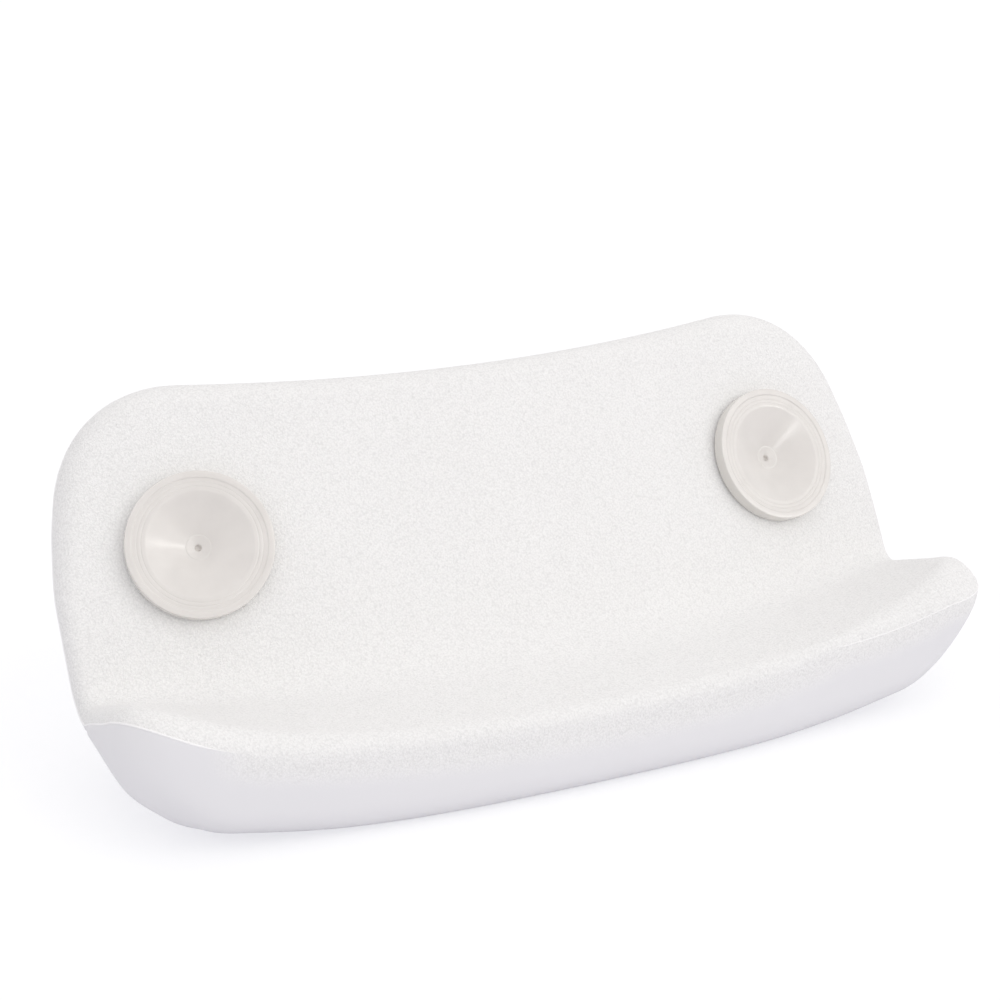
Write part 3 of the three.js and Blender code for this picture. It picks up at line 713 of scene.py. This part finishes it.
def rimDistance(sheet):
    # how far each point lies from the rim, along the grid's own lines
    rowSteps = np.linalg.norm(np.diff(sheet, axis=0), axis=-1)
    columnSteps = np.linalg.norm(np.diff(sheet, axis=1), axis=-1)
    down = np.vstack([np.zeros((1, sheet.shape[1])), np.cumsum(rowSteps, axis=0)])
    across = np.hstack([np.zeros((sheet.shape[0], 1)), np.cumsum(columnSteps, axis=1)])
    return np.minimum(np.minimum(down, down[-1] - down), np.minimum(across, across[:, -1:] - across))


def outwardAt(x, v, step=0.05):
    # the direction straight out of the outline, in the face
    side = body["halfWidth"] + flareAt(v) - np.abs(x)
    outX = np.where(side <= np.minimum(v, rearLength - v), 1.0, 0.0)
    outV = np.where(outX > 0, 0.0, np.where(v < rearLength - v, -1.0, 1.0))
    for radius, distance, way in ((body["freeCorner"], v, -1), (body["lipCorner"], rearLength - v, 1)):
        inCorner = (side < radius) & (distance < radius)
        outX = np.where(inCorner, radius - side, outX)
        outV = np.where(inCorner, way * (radius - distance), outV)
    along = rearBase(x, np.minimum(v + step, rearLength)) - rearBase(x, np.maximum(v - step, 0))
    across = rearBase(x + step, v) - rearBase(x - step, v)
    return unit(unit(across) * (outX * np.sign(x))[..., None] + unit(along) * outV[..., None])


onRim = np.zeros(xGrid.shape, bool)
onRim[[0, -1]] = True
onRim[:, [0, -1]] = True
outward = outwardAt(xGrid, vGrid)
rearOut = np.where(onRim[..., None], outward, gridNormals(rearSheet))
frontOut = np.where(onRim[..., None], outward, -gridNormals(frontSheet))
rearInner = rearSheet - rearOut * skinShape["wall"]
frontInner = frontSheet - frontOut * skinShape["wall"]
# the sole's flat runs softly into the rounded ends
flatAt = 0.5 * (np.hypot(body["standFlat"], skinShape["soleSoft"]) - body["standFlat"])
lowZ = frontSheet[..., 2]
softZ = 0.5 * (lowZ + np.hypot(lowZ, skinShape["soleSoft"]))
softZ = softZ - flatAt * (1 - smoothStep(lowZ, 0, skinShape["soleFade"]))
frontSheet[..., 2] = np.maximum(softZ, 0)
frontInner[..., 2] = np.maximum(frontInner[..., 2], skinShape["wall"] / 2)
print("stage: body sheets,", rearSheet.shape[0], "rows,", rearSheet.shape[1], "columns")

# Where each cup sits: the middle of its foot on the plate, and its axis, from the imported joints
cupFeet = {}
for joint in frame["joints"]:
    cupFeet[joint["child"]] = (np.array(joint["pos_m"]) / mm, unit(np.array(joint["axis"], float)))


def cutForCups(sheet, keep, hole):
    # opens round holes for the cup seats, and draws the edge points onto the circle
    for foot, axis in cupFeet.values():
        away = sheet - foot
        height = (away @ axis)[..., None] * axis
        radial = away - height
        radius = np.linalg.norm(radial, axis=-1)
        inside = (radius < hole) & (np.abs(away @ axis) < hole)
        cut = np.logical_or.reduce(faceCorners(inside)) & keep
        keep &= ~cut
        touched = np.zeros(inside.shape, bool)
        for corner in faceCorners(touched):
            corner |= cut
        edge = touched & ~inside
        sheet[edge] = (foot + height + radial / radius[..., None] * hole)[edge]
    return keep


def makeShell(name, outer, inner, keep, grainNotShade, facesFront):
    # a closed skin: outer face, inner face, and a strip along every open edge
    rows, columns = outer.shape[:2]
    index = np.arange(rows * columns).reshape(rows, columns)
    quads = np.stack(faceCorners(index), axis=-1)[keep]
    if facesFront:
        quads = quads[:, ::-1]
    inwards = quads[:, ::-1] + rows * columns
    edges = np.concatenate([quads[:, [k, (k + 1) % 4]] for k in range(4)])
    known = {tuple(edge) for edge in edges.tolist()}
    strips = [(b, a, a + rows * columns, b + rows * columns) for a, b in known if (b, a) not in known]
    faces = quads.tolist() + inwards.tolist() + sorted(strips)
    points = np.concatenate([outer.reshape(-1, 3), inner.reshape(-1, 3)]) * mm
    used = np.unique(np.array(faces))
    renumber = np.full(len(points), -1)
    renumber[used] = np.arange(len(used))
    mesh = bpy.data.meshes.new(name)
    mesh.from_pydata(points[used].tolist(), [], renumber[np.array(faces)].tolist())
    share = mesh.attributes.new("grainNotShade", "FLOAT", "POINT")
    share.data.foreach_set("value", np.tile(grainNotShade.ravel(), 2)[used])
    mesh.validate()
    mesh.shade_smooth()
    mesh.set_sharp_from_angle(angle=math.radians(skinShape["sharpAngle"]))
    piece = bpy.data.objects.new(name, mesh)
    bpy.context.scene.collection.objects.link(piece)
    return piece


def rimOf(grid):
    # the points round a grid, in order
    return np.concatenate([grid[0], grid[1:-1, -1], grid[-1, ::-1], grid[-2:0:-1, 0]])


def addLine(piece, rim, outward, share, radius, sides=8, thinnest=0.02, melted=0.05):
    # the moulding line: a fine round ridge along the rim, left out where it has melted away
    ahead = unit(np.roll(rim, -1, axis=0) - np.roll(rim, 1, axis=0))
    across = unit(np.cross(ahead, outward))
    turn = np.linspace(0, 2 * math.pi, sides, endpoint=False)[:, None]
    work = bmesh.new()
    work.from_mesh(piece.data)
    rings = []
    for place, out, side, part in zip(rim, outward, across, share):
        ring = place + (np.cos(turn) * out + np.sin(turn) * side) * radius * max(part, thinnest)
        rings.append([work.verts.new(point * mm) for point in ring])
    for k, ring in enumerate(rings):
        after = (k + 1) % len(rings)
        if max(share[k], share[after]) > melted:
            for j in range(sides):
                other = (j + 1) % sides
                face = work.faces.new((ring[j], ring[other], rings[after][other], rings[after][j]))
                face.smooth = True
                face.material_index = 1
    bmesh.ops.delete(work, geom=[v for v in work.verts if not v.link_faces], context="VERTS")
    work.to_mesh(piece.data)
    work.free()


everyFace = np.ones((rearSheet.shape[0] - 1, rearSheet.shape[1] - 1), bool)
openFaces = cutForCups(rearSheet, everyFace.copy(), skinShape["seatHole"])
cutForCups(rearInner, everyFace.copy(), skinShape["seatHole"])
# the grain runs over the middle of the lip edge and fades out below it, and where it fades the skin takes the plain
# colour painted as shade
pastEdge = 1 - smoothStep(rimDistance(frontSheet), *skinShape["grainFade"])
frontGrainNotShade = smoothStep(xGrid, *skinShape["grainFrom"]) * pastEdge
rearSkin = makeShell("rearSkin", rearSheet, rearInner, openFaces, np.ones(xGrid.shape), False)
frontSkin = makeShell("frontSkin", frontSheet, frontInner, everyFace, frontGrainNotShade, True)
addLine(rearSkin, rimOf(rearSheet), rimOf(outward), rimOf(lineShare(xGrid, vGrid)), skinShape["line"])
skinMaterial = makeSkinMaterial(skinValues)
rearSkin.data.materials.append(skinMaterial)
rearSkin.data.materials.append(makeLineMaterial(skinValues))
frontSkin.data.materials.append(skinMaterial)
for piece, node in ((rearSkin, "rear_skin"), (frontSkin, "front_skin")):
    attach(piece, "pillow")
    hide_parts(node)
print("stage: skins,", len(rearSkin.data.polygons) + len(frontSkin.data.polygons), "faces")

# Foam core: the moulded filling, with its pockets for the board and the cup seats
foamMesh = cadNodes["foam_core"].data.copy()
foamMesh.name = "foamCore"
foamMesh.materials.clear()
foamMesh.materials.append(makeFoamMaterial(foamLook))
foamMesh.shade_smooth()
foamMesh.set_sharp_from_angle(angle=math.radians(foamLook["sharpAngle"]))
foamCore = bpy.data.objects.new("foamCore", foamMesh)
bpy.context.scene.collection.objects.link(foamCore)
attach(foamCore, "pillow")
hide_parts("foam_core")
print("stage: foam core")

# Suction cups: heights in millimetres above the plate at the cup's middle
cupShape = {
    # the face: rim, ring with its marks, bowl, and the dimple in the bowl's floor
    "radius": 23.75, "rim": 5, "rimWidth": 2, "rimStep": 0.35, "grooves": (20.0, 18.7), "grooveHalf": 0.3,
    "grooveDepth": 0.12, "bowl": 17.3, "bowlDepth": 6, "bowlMid": 0.55, "floor": 4.2,
    "floorLip": ((-0.4, 0.04), (-0.8, -0.1)), "dimple": 1.1, "dimpleDepth": 2.2, "dimpleTaper": 0.8,
    "dimpleEdge": ((0.5, -0.7), (0, -0.9)),
    # the back: flange, stem and push-in head
    "flangeInner": 19.5, "lift": 0.3, "back": 3.1, "stem": 4, "tube": 5.75, "stemHead": 5.8, "stemHeadHeight": 3.2,
    # where the side wall is painted grey as shade, as distances in from the outside and down from the rim
    "wallFrom": (0.6, 0.1), "wallTop": (0.35, 0.15),
    "edgeRound": 0.4, "segments": 120, "sharpAngle": 40,
}


def roundProfile(points, radius, steps=5, mostOfEdge=0.45):
    # rounds each corner of a profile of (radius, height) points
    rounded = [np.array(points[0], float)]
    for before, corner, after in zip(points, points[1:], points[2:]):
        before, corner, after = (np.array(place, float) for place in (before, corner, after))
        back = before - corner
        ahead = after - corner
        leg = min(radius, mostOfEdge * np.linalg.norm(back), mostOfEdge * np.linalg.norm(ahead))
        start = corner + back / np.linalg.norm(back) * leg
        end = corner + ahead / np.linalg.norm(ahead) * leg
        rounded += list(bezier(start, corner, end, steps))
    return np.array(rounded + [np.array(points[-1], float)])


def makeCup(name, foot, axis, values, material):
    rim = values["rim"]
    ring = rim - values["rimStep"]
    floor = rim - values["bowlDepth"]
    back = floor - values["back"]
    shoulder = back - values["tube"]
    end = shoulder - values["stemHeadHeight"]
    inner = values["radius"] - values["rimWidth"]
    slope = (ring - floor) / (values["bowl"] - values["floor"])
    middle = values["bowl"] * values["bowlMid"]
    marks = []
    for groove in values["grooves"]:
        half = values["grooveHalf"]
        marks += [(groove + half, ring), (groove, ring - values["grooveDepth"]), (groove - half, ring)]
    floorLip = [(values["floor"] + out, floor + up) for out, up in values["floorLip"]]
    dimpleEdge = [(values["dimple"] + out, floor + up) for out, up in values["dimpleEdge"]]
    profile = roundProfile([
        (0, end), (values["stemHead"] / 2, end), (values["stemHead"], shoulder - values["stemHeadHeight"] / 2),
        (values["stemHead"], shoulder), (values["stem"], shoulder), (values["stem"], back),
        (values["flangeInner"], values["lift"]), (values["radius"], values["lift"]), (values["radius"], rim),
        (inner, rim), (inner - values["rimStep"], ring), *marks, (values["bowl"], ring),
        (middle, ring - slope * (values["bowl"] - middle)), (values["floor"], floor), *floorLip, *dimpleEdge,
        (values["dimple"] * values["dimpleTaper"], floor - values["dimpleDepth"]),
        (0, floor - values["dimpleDepth"]),
    ], values["edgeRound"])
    count = values["segments"]
    turn = np.linspace(0, 2 * math.pi, count, endpoint=False)
    side = unit(np.cross(axis, np.array([1.0, 0, 0])))
    other = np.cross(axis, side)
    around = np.cos(turn)[:, None] * side + np.sin(turn)[:, None] * other
    rings = foot + profile[1:-1, 1][:, None, None] * axis + profile[1:-1, 0][:, None, None] * around[None]
    points = np.concatenate([rings.reshape(-1, 3), [foot + profile[0, 1] * axis, foot + profile[-1, 1] * axis]]) * mm
    last = len(points) - 2
    faces = []
    for level in range(len(rings) - 1):
        for k in range(count):
            a, b = level * count + k, level * count + (k + 1) % count
            faces.append((a, b, b + count, a + count))
    top = (len(rings) - 1) * count
    faces += [(last, (k + 1) % count, k) for k in range(count)]
    faces += [(last + 1, top + k, top + (k + 1) % count) for k in range(count)]
    mesh = bpy.data.meshes.new(name)
    mesh.from_pydata(points.tolist(), [], faces)
    # the side wall's share of the painted grey shade
    outer = smoothStep(profile[1:-1, 0], *(values["radius"] - inset for inset in values["wallFrom"]))
    outer = outer * (1 - smoothStep(profile[1:-1, 1], *(rim - drop for drop in values["wallTop"])))
    paintedWallShade = mesh.attributes.new("paintedWallShade", "FLOAT", "POINT")
    paintedWallShade.data.foreach_set("value", np.concatenate([np.repeat(outer, count), [0, 0]]))
    mesh.validate()
    mesh.shade_smooth()
    mesh.set_sharp_from_angle(angle=math.radians(values["sharpAngle"]))
    mesh.materials.append(material)
    piece = bpy.data.objects.new(name, mesh)
    bpy.context.scene.collection.objects.link(piece)
    return piece


cupMaterial = makeCupMaterial(cupLook)
for side in ("left", "right"):
    foot, axis = cupFeet[side + "_cup"]
    cup = makeCup(side + "SuctionCup", foot, axis, cupShape, cupMaterial)
    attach(cup, side + "_cup")
    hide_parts(side + "_suction_cup")
print("stage: suction cups")

# Board, seats and washers keep their solids and get moulded plastic
boardMaterial = makePlasticMaterial(boardLook)
washerMaterial = makePlasticMaterial(washerLook)
for name, material in (
    ("insert_board", boardMaterial), ("left_cup_seat", boardMaterial), ("right_cup_seat", boardMaterial),
    ("left_clamp_washer", washerMaterial), ("right_clamp_washer", washerMaterial),
):
    for materialSlot in cadNodes[name].material_slots:
        materialSlot.material = material
print("stage: hidden plastic pieces")

bpy.context.scene.view_settings.view_transform = "Standard"
